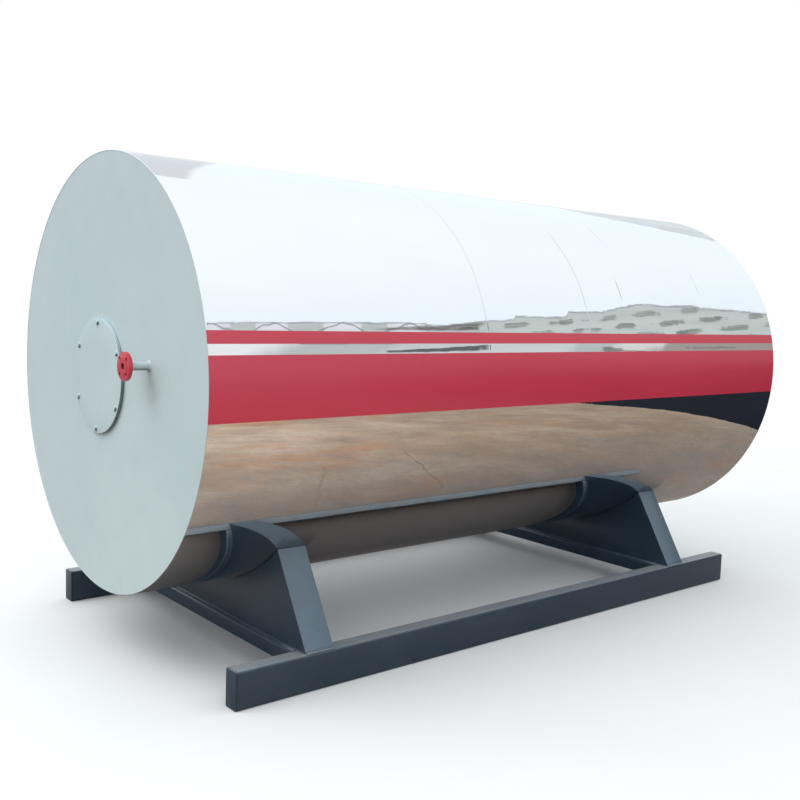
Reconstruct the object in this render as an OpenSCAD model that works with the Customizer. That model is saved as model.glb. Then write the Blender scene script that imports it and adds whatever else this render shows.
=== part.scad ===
// Horizontal shell boiler in a polished sheet-metal casing, standing on a two-beam skid.
// The boiler's axis runs along Y. The front end plate, with its bolted cover and
// flanged stub, faces -Y. The origin is on the ground, under the middle of the whole
// machine's box. Millimetres throughout.

/* [Casing] */
// Outside diameter of the polished casing
casing_d = 1900; // [1880:5:1920]
// Length of the casing over both end plates
casing_l = 3820; // [3780:5:3900]
// Height of the boiler's axis above the ground
axis_h = 1250; // [1240:5:1300]
// Thickness of the polished cladding sheet as modelled
clad_t = 3; // [2:1:6]
// How far the cladding's rolled edge stands past each end plate
clad_lip = 1.5; // [1:0.5:4]
// Distance from the front end plate's face to the first sheet joint
seam_a = 1415; // [1300:5:1500]
// Distance from the front end plate's face to the second sheet joint
seam_b = 2133; // [2050:5:2250]
// Wall thickness of the steel drum that carries the cladding
drum_t = 12; // [8:1:20]
// Thickness of each flat end plate
end_t = 12; // [8:1:20]

/* [Bolted covers] */
// Diameter of each round cover plate
cover_d = 500; // [490:2:520]
// Thickness of each cover plate
cover_t = 14; // [12:1:18]
// Thickness of the flat gasket under each cover
gasket_t = 2; // [1:0.5:4]
// Diameter of the inspection opening that a cover closes
manhole_d = 400; // [380:5:405]
// Bolt circle diameter of each cover
cover_pcd = 462; // [458:2:464]
// Sideways distance of each cover's middle from the casing's axis
cover_x = -24; // [-30:2:0]
// Height of each cover's middle above the casing's axis
cover_up = -7; // [-12:1:0]
// How far a cover is turned from having a bolt at the very top, in degrees
cover_turn = 2; // [0:1:30]
// Number of bolts on each cover
cover_bolts = 6; // [4:1:8]
// Thread diameter of a cover bolt
bolt_d = 12; // [10:1:14]
// Width across flats of a bolt head
bolt_af = 19; // [17:1:22]
// Height of a bolt head
bolt_head_h = 8; // [6:1:10]

/* [Flanged stub] */
// Sideways distance of the stub from the boiler's axis
stub_x = 454; // [430:2:480]
// Height of the stub above the boiler's axis
stub_up = 69; // [40:1:100]
// How far the stub's sealing face stands in front of the end plate
stub_reach = 110; // [90:1:140]
// Outside diameter of the stub pipe
pipe_d = 33.7; // [32:0.1:35]
// Wall thickness of the stub pipe
pipe_t = 3.2; // [2.6:0.1:4]
// Outside diameter of the flange
flange_d = 115; // [110:1:120]
// Thickness of the flange over its raised face
flange_t = 18; // [16:1:22]
// Diameter of the raised sealing face
raised_d = 68; // [64:1:68]
// Height of the raised sealing face
raised_h = 2; // [1:0.5:3]
// Bolt circle diameter of the flange
flange_pcd = 85; // [85:1:86]
// Diameter of each flange bolt hole
flange_hole_d = 14; // [12:1:15]

/* [Skid] */
// Distance from the middle of the skid to a beam's outer face
skid_half_w = 880; // [870:2:900]
// Width of each long beam
beam_w = 80; // [70:5:100]
// Height of each long beam
beam_h = 160; // [150:5:165]
// Wall thickness of the long beams
beam_t = 6; // [5:1:7]
// Outer corner radius of the long beams
beam_r = 10; // [8:1:12]
// Distance from the front end plate to the beams' front ends
skid_front = 170; // [160:2:200]
// Distance from the front end plate to the beams' rear ends
skid_rear = 3508; // [3480:2:3560]
// Thickness of each beam's welded end cap
cap_t = 6; // [4:1:10]
// Height of each crossbeam
cross_h = 70; // [60:2:90]
// Wall thickness of the crossbeams
cross_t = 6; // [5:1:8]

/* [Saddles] */
// Distance from the front end plate to the front saddle's face
saddle_front = 500; // [490:2:540]
// Distance from the front end plate to the rear saddle's front face
saddle_rear = 2972; // [2960:2:3040]
// Length of each saddle along the boiler
saddle_l = 140; // [130:2:160]
// Thickness of the saddle plates
saddle_t = 10; // [8:1:12]
// Distance from the middle to a side plate's foot, at its outer face
foot_x = 872; // [864:2:876]
// Distance from the middle to a side plate's top, at its outer face
head_x = 640; // [620:2:650]
// Ledge of the crossbeam in front of and behind the saddle
ledge = 26; // [16:1:28]

/* [Hidden] */
$fn = 96;
r_out = casing_d / 2;
r_drum = r_out - clad_t;
cover_z = axis_h + cover_up;
rear_reach = gasket_t + cover_t + bolt_head_h;
// Distance from the front end plate's face to the middle of the whole box
y_mid = (casing_l + rear_reach - stub_reach) / 2;
// Height at which a side plate's outer face meets the casing
head_z = axis_h - sqrt(r_out * r_out - head_x * head_x);
lean = (foot_x - head_x) / (head_z - beam_h);
// A side plate's thickness measured level
side_w = saddle_t * sqrt(1 + lean * lean);
cross_l = 2 * (skid_half_w - beam_w);

// ---- helpers: every distance y is counted back from the front end plate's face ----

// A solid cylinder along the boiler's axis from y0 to y1
module rod(r, y0, y1, x = 0, z = axis_h)
  translate([x, y1 - y_mid, z]) rotate([90, 0, 0]) cylinder(r = r, h = y1 - y0);

// A hollow cylinder along the boiler's axis from y0 to y1
module tube(ro, ri, y0, y1, x = 0, z = axis_h)
  difference() {
    rod(ro, y0, y1, x, z);
    rod(ri, y0 - 5, y1 + 5, x, z);
  }

// A flat outline in X and Z, made t thick along Y from y0
module slab(y0, t)
  translate([0, y0 + t - y_mid, 0]) rotate([90, 0, 0]) linear_extrude(height = t) children();

// A rectangle with round corners, from its middle
module round_rect(w, h, r) {
  square([w - 2 * r, h], center = true);
  square([w, h - 2 * r], center = true);
  for (sx = [-1, 1], sz = [-1, 1])
    translate([sx * (w / 2 - r), sz * (h / 2 - r)]) circle(r = r, $fn = 48);
}

// ---- casing ----

module cladding(y0, y1)
  color([0.86, 0.88, 0.90]) tube(r_out, r_drum, y0, y1);

module cladding_front() cladding(-clad_lip, seam_a);
module cladding_middle() cladding(seam_a, seam_b);
module cladding_rear() cladding(seam_b, casing_l + clad_lip);

module casing_drum()
  color([0.45, 0.47, 0.48]) tube(r_drum, r_drum - drum_t, end_t, casing_l - end_t);

// Flat end plate with its inspection opening and the cover's bolt holes
module end_plate(y0)
  difference() {
    rod(r_drum, y0, y0 + end_t);
    rod(manhole_d / 2, y0 - 5, y0 + end_t + 5, cover_x, cover_z);
    bolt_holes(y0 - 5, y0 + end_t + 5);
  }

// Place of a cover's bolt i: [x, z]
function bolt_at(i) =
  let (a = cover_turn + i * 360 / cover_bolts)
  [cover_x + cover_pcd / 2 * sin(a), cover_z + cover_pcd / 2 * cos(a)];

module bolt_holes(y0, y1)
  for (i = [0 : cover_bolts - 1])
    rod(bolt_d / 2, y0, y1, bolt_at(i)[0], bolt_at(i)[1]);

module front_end_plate()
  color([0.72, 0.78, 0.79]) difference() {
    end_plate(0);
    rod(pipe_d / 2, -5, end_t + 5, stub_x, axis_h + stub_up);
  }

module rear_end_plate()
  color([0.72, 0.78, 0.79]) end_plate(casing_l - end_t);

// ---- bolted covers ----

module cover_plate(y0)
  color([0.72, 0.78, 0.79]) difference() {
    rod(cover_d / 2, y0, y0 + cover_t, cover_x, cover_z);
    bolt_holes(y0 - 5, y0 + cover_t + 5);
  }

module cover_gasket(y0)
  color([0.25, 0.26, 0.26]) difference() {
    tube(cover_d / 2 - 3, manhole_d / 2, y0, y0 + gasket_t, cover_x, cover_z);
    bolt_holes(y0 - 5, y0 + gasket_t + 5);
  }

// Hexagon-head bolts: the shank runs from y0 to y1, and the head is on the y0 side
// for dir = -1 or on the y1 side for dir = 1
module cover_bolt_set(y0, y1, dir)
  color([0.55, 0.60, 0.61])
  for (i = [0 : cover_bolts - 1]) {
    at = bolt_at(i);
    rod(bolt_d / 2, y0, y1, at[0], at[1]);
    translate([at[0], (dir < 0 ? y0 : y1 + bolt_head_h) - y_mid, at[1]])
      rotate([90, 0, 0]) cylinder(d = bolt_af / cos(30), h = bolt_head_h, $fn = 6);
  }

module front_cover_plate() cover_plate(-gasket_t - cover_t);
module front_cover_gasket() cover_gasket(-gasket_t);
module front_cover_bolts() cover_bolt_set(-gasket_t - cover_t, end_t, -1);
module rear_cover_plate() cover_plate(casing_l + gasket_t);
module rear_cover_gasket() cover_gasket(casing_l);
module rear_cover_bolts() cover_bolt_set(casing_l - end_t, casing_l + gasket_t + cover_t, 1);

// ---- flanged stub ----

module stub_pipe()
  color([0.70, 0.75, 0.76])
    tube(pipe_d / 2, pipe_d / 2 - pipe_t, raised_h - stub_reach, end_t + 10,
         stub_x, axis_h + stub_up);

module stub_flange()
  color([0.78, 0.24, 0.30]) difference() {
    union() {
      rod(flange_d / 2, raised_h - stub_reach, flange_t - stub_reach, stub_x, axis_h + stub_up);
      rod(raised_d / 2, -stub_reach, flange_t - stub_reach, stub_x, axis_h + stub_up);
    }
    // The socket for the pipe, and the flow bore through the raised face
    rod(pipe_d / 2, raised_h - stub_reach, flange_t - stub_reach + 5, stub_x, axis_h + stub_up);
    rod(pipe_d / 2 - pipe_t, -stub_reach - 5, flange_t - stub_reach + 5, stub_x, axis_h + stub_up);
    for (a = [45 : 90 : 315])
      rod(flange_hole_d / 2, -stub_reach - 5, flange_t - stub_reach + 5,
          stub_x + flange_pcd / 2 * cos(a), axis_h + stub_up + flange_pcd / 2 * sin(a));
  }

// ---- saddles ----

// Outline of a web between the side plates, before the casing's seat is cut from it
module web_outline() {
  xo = foot_x - side_w;
  top = head_z + 30;
  xt = xo - lean * (top - beam_h);
  polygon([[-xo, beam_h], [xo, beam_h], [xt, top], [-xt, top]]);
}

module web(y0)
  color([0.19, 0.22, 0.25]) difference() {
    slab(y0, saddle_t) web_outline();
    rod(r_out, y0 - 5, y0 + saddle_t + 5);
  }

// The leaning plate that closes a saddle's side: s = 1 is the +X side
module side_plate(y0, s)
  color([0.37, 0.44, 0.49]) difference() {
    slab(y0, saddle_l) polygon([
      [s * foot_x, beam_h],
      [s * (foot_x - lean * (head_z + 30 - beam_h)), head_z + 30],
      [s * (foot_x - side_w - lean * (head_z + 30 - beam_h)), head_z + 30],
      [s * (foot_x - side_w), beam_h]
    ]);
    rod(r_out, y0 - 5, y0 + saddle_l + 5);
  }

module front_saddle_front_web() web(saddle_front);
module front_saddle_rear_web() web(saddle_front + saddle_l - saddle_t);
module front_saddle_right_plate() side_plate(saddle_front, 1);
module front_saddle_left_plate() side_plate(saddle_front, -1);
module rear_saddle_front_web() web(saddle_rear);
module rear_saddle_rear_web() web(saddle_rear + saddle_l - saddle_t);
module rear_saddle_right_plate() side_plate(saddle_rear, 1);
module rear_saddle_left_plate() side_plate(saddle_rear, -1);

// ---- skid ----

// Rectangular tube across the skid, its top level with the long beams
module crossbeam(y0)
  color([0.20, 0.24, 0.27]) translate([0, y0 - ledge - y_mid, beam_h - cross_h])
    difference() {
      translate([-cross_l / 2, 0, 0]) cube([cross_l, saddle_l + 2 * ledge, cross_h]);
      translate([-cross_l / 2 - 5, cross_t, cross_t])
        cube([cross_l + 10, saddle_l + 2 * ledge - 2 * cross_t, cross_h - 2 * cross_t]);
    }

module front_crossbeam() crossbeam(saddle_front);
module rear_crossbeam() crossbeam(saddle_rear);

module skid_beam(s)
  color([0.20, 0.25, 0.29])
    translate([s * (skid_half_w - beam_w / 2), 0, beam_h / 2])
      slab(skid_front + cap_t, skid_rear - skid_front - 2 * cap_t) difference() {
        round_rect(beam_w, beam_h, beam_r);
        round_rect(beam_w - 2 * beam_t, beam_h - 2 * beam_t, beam_r - beam_t);
      }

module beam_cap(s, y0)
  color([0.24, 0.29, 0.33])
    translate([s * (skid_half_w - beam_w / 2), 0, beam_h / 2])
      slab(y0, cap_t) round_rect(beam_w, beam_h, beam_r);

module right_skid_beam() skid_beam(1);
module left_skid_beam() skid_beam(-1);
module right_beam_front_cap() beam_cap(1, skid_front);
module right_beam_rear_cap() beam_cap(1, skid_rear - cap_t);
module left_beam_front_cap() beam_cap(-1, skid_front);
module left_beam_rear_cap() beam_cap(-1, skid_rear - cap_t);

cladding_front();
cladding_middle();
cladding_rear();
casing_drum();
front_end_plate();
rear_end_plate();
front_cover_plate();
front_cover_gasket();
front_cover_bolts();
rear_cover_plate();
rear_cover_gasket();
rear_cover_bolts();
stub_pipe();
stub_flange();
front_saddle_front_web();
front_saddle_rear_web();
front_saddle_right_plate();
front_saddle_left_plate();
rear_saddle_front_web();
rear_saddle_rear_web();
rear_saddle_right_plate();
rear_saddle_left_plate();
front_crossbeam();
rear_crossbeam();
right_skid_beam();
left_skid_beam();
right_beam_front_cap();
right_beam_rear_cap();
left_beam_front_cap();
left_beam_rear_cap();
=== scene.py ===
"""Looks for the horizontal boiler on its skid: mirror-polished casing with red stripes,
pale painted ends, bolted covers, a red flanged stub and a dark painted skid.
Everything is in metres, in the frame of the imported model."""

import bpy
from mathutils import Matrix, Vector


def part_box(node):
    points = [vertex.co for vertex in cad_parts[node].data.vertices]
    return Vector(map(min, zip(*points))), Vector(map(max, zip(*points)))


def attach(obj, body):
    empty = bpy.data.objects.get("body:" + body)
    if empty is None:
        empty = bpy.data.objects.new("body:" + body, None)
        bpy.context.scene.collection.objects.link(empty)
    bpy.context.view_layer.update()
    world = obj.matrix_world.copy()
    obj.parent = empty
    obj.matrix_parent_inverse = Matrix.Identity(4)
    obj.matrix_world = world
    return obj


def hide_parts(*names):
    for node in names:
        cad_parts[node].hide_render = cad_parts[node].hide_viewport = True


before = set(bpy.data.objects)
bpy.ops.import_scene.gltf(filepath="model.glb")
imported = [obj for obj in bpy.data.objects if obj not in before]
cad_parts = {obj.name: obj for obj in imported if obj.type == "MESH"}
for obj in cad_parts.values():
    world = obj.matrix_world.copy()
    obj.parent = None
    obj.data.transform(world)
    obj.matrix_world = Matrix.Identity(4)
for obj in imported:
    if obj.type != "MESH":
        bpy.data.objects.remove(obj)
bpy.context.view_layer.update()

import math

import bpy
import numpy as np
from mathutils import Matrix, Vector

# ---------------------------------------------------------------- sizes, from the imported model
lo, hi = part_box("cladding_front")
R = (hi.x - lo.x) / 2                      # casing radius
AX = (hi.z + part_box("cladding_rear")[0].z) / 2   # height of the boiler's axis
LIP0 = lo.y                                # front rolled edge
SEAM_A = hi.y
SEAM_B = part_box("cladding_middle")[1].y
LIP1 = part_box("cladding_rear")[1].y
FACE0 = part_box("front_end_plate")[0].y     # front end plate's face
FACE1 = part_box("rear_end_plate")[1].y
SHEET = 0.003
c0, c1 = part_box("front_cover_plate")
CX, CZ = (c0.x + c1.x) / 2, (c0.z + c1.z) / 2   # middle of both bolted covers
BOLT_R, BOLT_TURN = 0.231, 2.0             # their bolt circle
STRIPES = [(11.06, 14.10), (-6.60, 8.55)]  # degrees above level, on each side

RNG = np.random.default_rng(20260)


# ---------------------------------------------------------------- mesh helpers
def make(name, verts, faces, mats, face_mat=None, smooth_deg=None, node=None):
    me = bpy.data.meshes.new(name)
    me.from_pydata([tuple(map(float, v)) for v in verts], [], [tuple(map(int, f)) for f in faces])
    me.validate()
    for m in mats:
        me.materials.append(m)
    if face_mat is not None:
        me.polygons.foreach_set("material_index", np.asarray(face_mat, np.int32))
    if smooth_deg is not None:
        me.polygons.foreach_set("use_smooth", np.ones(len(me.polygons), bool))
        me.set_sharp_from_angle(angle=math.radians(smooth_deg))
    me.update()
    ob = bpy.data.objects.new(name, me)
    bpy.context.scene.collection.objects.link(ob)
    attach(ob, "root")
    if node:
        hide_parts(*([node] if isinstance(node, str) else node))
    return ob


def grid_faces(rows, cols, start=0, close_rows=False, close_cols=True, flip=False):
    """Quads of a grid whose vertex (i, j) is start + i * cols + j."""
    out = []
    ni = rows if close_rows else rows - 1
    nj = cols if close_cols else cols - 1
    for i in range(ni):
        a = start + i * cols
        b = start + ((i + 1) % rows) * cols
        for j in range(nj):
            k = (j + 1) % cols
            q = (a + j, b + j, b + k, a + k)
            out.append(q[::-1] if flip else q)
    return out


def lathe(profile, n, x0, z0, closed=True, flip=False):
    """Revolves (radius, y) points about a line along Y through x0, z0."""
    t = np.linspace(0, 2 * math.pi, n, endpoint=False)
    v = np.array([[x0 + r * c, y, z0 + r * s] for r, y in profile for c, s in zip(np.cos(t), np.sin(t))])
    return v, grid_faces(len(profile), n, close_rows=closed, flip=flip)


def arc(cx, cy, r, a0, a1, n):
    return [(cx + r * math.cos(math.radians(a0 + (a1 - a0) * i / n)),
             cy + r * math.sin(math.radians(a0 + (a1 - a0) * i / n))) for i in range(n + 1)]


def round_rect(w, h, r, n=7):
    out = []
    for sx, sy, a in ((1, 1, 0), (-1, 1, 90), (-1, -1, 180), (1, -1, 270)):
        out += arc(sx * (w / 2 - r), sy * (h / 2 - r), r, a, a + 90, n)
    return out


def inset(loop, d):
    """A closed counter-clockwise loop moved in by d along its corner bisectors."""
    p = np.array(loop, float)
    e = np.roll(p, -1, 0) - p
    e /= np.linalg.norm(e, axis=1)[:, None]
    nrm = np.stack([-e[:, 1], e[:, 0]], 1)
    b = nrm + np.roll(nrm, 1, 0)
    b /= np.linalg.norm(b, axis=1)[:, None]
    c = np.clip((b * nrm).sum(1), 0.35, 1)
    return p + b * (d / c)[:, None]


def prism(loop, w0, w1, bevel, place, segs=2):
    """A bar of that outline between w0 and w1, its end edges rounded by bevel.
    place turns (u, v, w) rows into points. Returns vertices and faces."""
    rings = []
    for i in range(segs + 1):
        a = math.pi / 2 * i / segs
        rings.append((bevel * (1 - math.sin(a)), w0 + bevel * (1 - math.cos(a))))
    rings += [(d, w0 + w1 - w) for d, w in rings[::-1]]
    n = len(loop)
    uvw = []
    for d, w in rings:
        q = inset(loop, d) if d > 1e-9 else np.array(loop, float)
        uvw.append(np.column_stack([q, np.full(n, w)]))
    v = place(np.concatenate(uvw))
    f = grid_faces(len(rings), n)
    f.append(tuple(range(n)))
    f.append(tuple(range((len(rings) - 1) * n, len(rings) * n))[::-1])
    return v, f


def outward(v, f):
    """Turns all faces over if the closed mesh is inside out."""
    v = np.asarray(v)
    total = 0.0
    for q in f:
        for k in range(1, len(q) - 1):
            total += float(np.dot(v[q[0]], np.cross(v[q[k]], v[q[k + 1]])))
    return f if total > 0 else [tuple(q[::-1]) for q in f]


def along_y(x0=0.0, z0=0.0):
    return lambda q: np.column_stack([q[:, 0] + x0, q[:, 2], q[:, 1] + z0])


def along_x(y0=0.0, z0=0.0):
    return lambda q: np.column_stack([q[:, 2], q[:, 0] + y0, q[:, 1] + z0])


def ccw(loop):
    p = np.array(loop)
    a = 0.5 * np.sum(p[:, 0] * np.roll(p[:, 1], -1) - np.roll(p[:, 0], -1) * p[:, 1])
    return list(map(tuple, p)) if a > 0 else list(map(tuple, p[::-1]))


def join(parts):
    vs, fs, at = [], [], 0
    for v, f in parts:
        vs.append(np.asarray(v))
        fs += [tuple(int(i) + at for i in q) for q in f]
        at += len(v)
    return np.concatenate(vs), fs


def bead(points, da, db, size, step=0.003, closed=False, seed=1):
    """A fillet weld along points, between the directions da and db at each point."""
    p = np.array(points, float)
    da = np.broadcast_to(np.array(da, float), p.shape)
    db = np.broadcast_to(np.array(db, float), p.shape)
    seg = np.linalg.norm(np.diff(np.vstack([p, p[:1]]) if closed else p, axis=0), axis=1)
    s = np.concatenate([[0], np.cumsum(seg)])
    total = s[-1]
    n = max(8, int(total / step))
    t = np.linspace(0, total, n, endpoint=not closed)
    src = np.vstack([p, p[:1]]) if closed else p
    sa = np.vstack([da, da[:1]]) if closed else da
    sb = np.vstack([db, db[:1]]) if closed else db
    q = np.column_stack([np.interp(t, s, src[:, k]) for k in range(3)])
    a = np.column_stack([np.interp(t, s, sa[:, k]) for k in range(3)])
    b = np.column_stack([np.interp(t, s, sb[:, k]) for k in range(3)])
    a /= np.linalg.norm(a, axis=1)[:, None]
    b /= np.linalg.norm(b, axis=1)[:, None]
    g = np.random.default_rng(seed)
    slow = np.interp(t, np.linspace(0, total, max(4, int(total / 0.05))), g.uniform(-1, 1, max(4, int(total / 0.05))))
    ripple = np.abs(np.sin(math.pi * t / 0.0085 + 0.9 * slow))
    k = size * (0.94 + 0.12 * ripple + 0.08 * slow)
    if not closed:
        k = k * np.clip(np.minimum(t, total - t) / (size * 1.2), 0.12, 1) ** 0.5
    shape = [(-0.10, -0.10), (1.0, -0.04), (0.90, 0.26), (0.58, 0.58), (0.26, 0.90), (-0.04, 1.0)]
    v = np.concatenate([(q + (a * u + b * w) * k[:, None])[:, None, :] for u, w in shape], 1).reshape(-1, 3)
    m = len(shape)
    f = grid_faces(n, m, close_rows=closed)
    if not closed:
        f.append(tuple(range(m)))
        f.append(tuple(range((n - 1) * m, n * m))[::-1])
    return v, outward(v - v.mean(0), f)


# ---------------------------------------------------------------- node helpers
class Mat:
    def __init__(self, name):
        self.m = bpy.data.materials.new(name)
        self.m.use_nodes = True
        self.t = self.m.node_tree
        self.t.nodes.clear()
        self.out = self.t.nodes.new("ShaderNodeOutputMaterial")
        self.b = self.t.nodes.new("ShaderNodeBsdfPrincipled")
        self.t.links.new(self.b.outputs[0], self.out.inputs[0])
        self.tc = self.t.nodes.new("ShaderNodeTexCoord")

    def link(self, a, b):
        self.t.links.new(a, b)

    def put(self, **values):
        for k, v in values.items():
            self.b.inputs[k.replace("_", " ")].default_value = v
        return self

    def coords(self, scale=(1, 1, 1)):
        if tuple(scale) == (1, 1, 1):
            return self.tc.outputs["Object"]
        n = self.t.nodes.new("ShaderNodeMapping")
        n.inputs["Scale"].default_value = scale
        self.link(self.tc.outputs["Object"], n.inputs["Vector"])
        return n.outputs[0]

    def noise(self, scale, detail=3.0, rough=0.5, at=None, distort=0.0, color=False):
        n = self.t.nodes.new("ShaderNodeTexNoise")
        n.inputs["Scale"].default_value = scale
        n.inputs["Detail"].default_value = detail
        n.inputs["Roughness"].default_value = rough
        n.inputs["Distortion"].default_value = distort
        self.link(at if at is not None else self.coords(), n.inputs["Vector"])
        return n.outputs["Color" if color else "Fac"]

    def ramp(self, fac, stops, interp="LINEAR"):
        n = self.t.nodes.new("ShaderNodeValToRGB")
        n.color_ramp.interpolation = interp
        e = n.color_ramp.elements
        while len(e) > 1:
            e.remove(e[-1])
        e[0].position, e[0].color = stops[0][0], self.rgba(stops[0][1])
        for pos, col in stops[1:]:
            k = e.new(pos)
            k.color = self.rgba(col)
        self.link(fac, n.inputs[0])
        return n.outputs[0]

    @staticmethod
    def rgba(c):
        return (c, c, c, 1) if isinstance(c, (int, float)) else (*c[:3], 1)

    def range(self, fac, a, b, c, d, clamp=True, smooth=False):
        n = self.t.nodes.new("ShaderNodeMapRange")
        n.clamp = clamp
        if smooth:
            n.interpolation_type = "SMOOTHSTEP"
        for i, v in enumerate((a, b, c, d)):
            n.inputs[i + 1].default_value = v
        self.link(fac, n.inputs[0])
        return n.outputs[0]

    def math(self, op, a, b=None, c=None):
        n = self.t.nodes.new("ShaderNodeMath")
        n.operation = op
        for i, v in enumerate((a, b, c)):
            if v is None:
                continue
            if isinstance(v, (int, float)):
                n.inputs[i].default_value = v
            else:
                self.link(v, n.inputs[i])
        return n.outputs[0]

    def mix(self, fac, a, b, kind="MIX"):
        n = self.t.nodes.new("ShaderNodeMix")
        n.data_type = "RGBA"
        n.blend_type = kind
        for sock, v in ((n.inputs[0], fac), (n.inputs[6], a), (n.inputs[7], b)):
            if isinstance(v, (int, float)):
                sock.default_value = v if sock == n.inputs[0] else self.rgba(v)
            elif isinstance(v, (tuple, list)):
                sock.default_value = self.rgba(v)
            else:
                self.link(v, sock)
        return n.outputs[2]

    def bump(self, height, strength, distance, under=None):
        n = self.t.nodes.new("ShaderNodeBump")
        n.inputs["Strength"].default_value = strength
        n.inputs["Distance"].default_value = distance
        self.link(height, n.inputs["Height"])
        if under is not None:
            self.link(under, n.inputs["Normal"])
        return n.outputs[0]

    def xyz(self):
        n = self.t.nodes.new("ShaderNodeSeparateXYZ")
        self.link(self.tc.outputs["Object"], n.inputs[0])
        return n.outputs

    def normal_z(self):
        g = self.t.nodes.new("ShaderNodeNewGeometry")
        n = self.t.nodes.new("ShaderNodeSeparateXYZ")
        self.link(g.outputs["Normal"], n.inputs[0])
        return n.outputs[2]

    def facing_end(self):
        """How squarely the surface faces along the boiler, 0 to 1."""
        g = self.t.nodes.new("ShaderNodeNewGeometry")
        n = self.t.nodes.new("ShaderNodeSeparateXYZ")
        self.link(g.outputs["Normal"], n.inputs[0])
        return self.math("ABSOLUTE", n.outputs[1])

    def color(self, sock):
        self.link(sock, self.b.inputs["Base Color"])

    def rough(self, sock):
        self.link(sock, self.b.inputs["Roughness"])

    def norm(self, sock):
        self.link(sock, self.b.inputs["Normal"])


# ---------------------------------------------------------------- materials
def polished_steel():
    """Mirror-polished stainless sheet: faint smears, a few handling creases and a trace of rolling waviness."""
    k = Mat("polished_sheet")
    k.put(Metallic=1.0)
    k.b.inputs["Specular Tint"].default_value = (0.97, 0.985, 1.0, 1)
    x, y, z = k.xyz()[:3]
    smear = k.noise(2.2, 4, 0.6, at=k.coords((1.0, 0.35, 1.0)), distort=0.4)
    tint = k.mix(k.range(smear, 0.3, 0.75, 0, 1), (0.80, 0.812, 0.83), (0.765, 0.775, 0.79))
    # Short handling creases: each is a thin line round the casing at one place along it
    worst = None
    for y0, za, zb, wide, depth, both in CREASES:
        d = k.math("ABSOLUTE", k.math("SUBTRACT", y, y0))
        wob = k.math("MULTIPLY", k.math("SUBTRACT", k.noise(5.0, 1), 0.5), 0.012)
        d = k.math("ABSOLUTE", k.math("ADD", k.math("SUBTRACT", y, y0), wob))
        line = k.range(d, wide * 0.35, wide, depth, 0.0, smooth=True)
        lo_ = k.range(z, za, za + 0.05, 0, 1, smooth=True)
        hi_ = k.range(z, zb - 0.05, zb, 1, 0, smooth=True)
        side = k.range(k.math("ABSOLUTE", x) if both else x, 0.1, 0.2, 0, 1)
        one = k.math("MULTIPLY", k.math("MULTIPLY", line, lo_), k.math("MULTIPLY", hi_, side))
        worst = one if worst is None else k.math("MAXIMUM", worst, one)
    tint = k.mix(worst, tint, (0.30, 0.32, 0.35))
    # weld spatter and painted shade just over the saddles' side plates: the darker band dims their mirror image in the
    # casing
    rag = k.math("MULTIPLY", k.math("SUBTRACT", k.noise(22, 5, 0.7), 0.5), 0.10)
    spatter_and_shade = None
    for y0 in SADDLES:
        d = k.math("ADD", k.math("ABSOLUTE", k.math("SUBTRACT", y, y0)), rag)
        one = k.range(d, 0.070, 0.098, 1, 0, smooth=True)
        spatter_and_shade = one if spatter_and_shade is None else k.math("MAXIMUM", spatter_and_shade, one)
    spatter_and_shade = k.math("MULTIPLY", spatter_and_shade, k.range(k.math("ADD", z, rag), 0.565, 0.640, 1, 0, smooth=True))
    tint = k.mix(k.math("MULTIPLY", spatter_and_shade, 0.50), tint, (0.17, 0.175, 0.18))
    k.color(tint)
    fine = k.noise(26, 3, 0.6)
    base = k.range(smear, 0.35, 0.8, 0.012, 0.036, smooth=True)
    k.rough(k.math("ADD", k.math("ADD", base, k.range(fine, 0.55, 0.8, 0.0, 0.012, smooth=True)),
                   k.math("MULTIPLY", worst, 0.2)))
    wav = k.noise(3.1, 1.5, 0.4, at=k.coords((1.0, 0.5, 1.0)))
    ripple = k.noise(8.5, 1.0, 0.4)
    k.norm(k.bump(ripple, 1.0, 0.00032, k.bump(wav, 0.30, 0.004)))
    return k.m


def stripe_red():
    k = Mat("stripe_red")
    y = k.xyz()[1]
    cloud = k.noise(1.7, 3, 0.55, at=k.coords((1, 0.4, 1)))
    base = k.mix(k.range(cloud, 0.15, 0.85, 0, 1, smooth=True), (0.680, 0.038, 0.084), (0.750, 0.052, 0.104))
    speck = k.noise(140, 2, 0.5)
    k.color(k.mix(k.range(speck, 0.68, 0.8, 0, 0.25), base, (0.66, 0.12, 0.15)))
    k.rough(k.range(cloud, 0.15, 0.85, 0.285, 0.345, smooth=True))
    k.put(Coat_Weight=0.45, Coat_Roughness=0.22, Specular_IOR_Level=0.5)
    k.norm(k.bump(k.noise(240, 2), 0.05, 0.0004))
    return k.m


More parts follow.
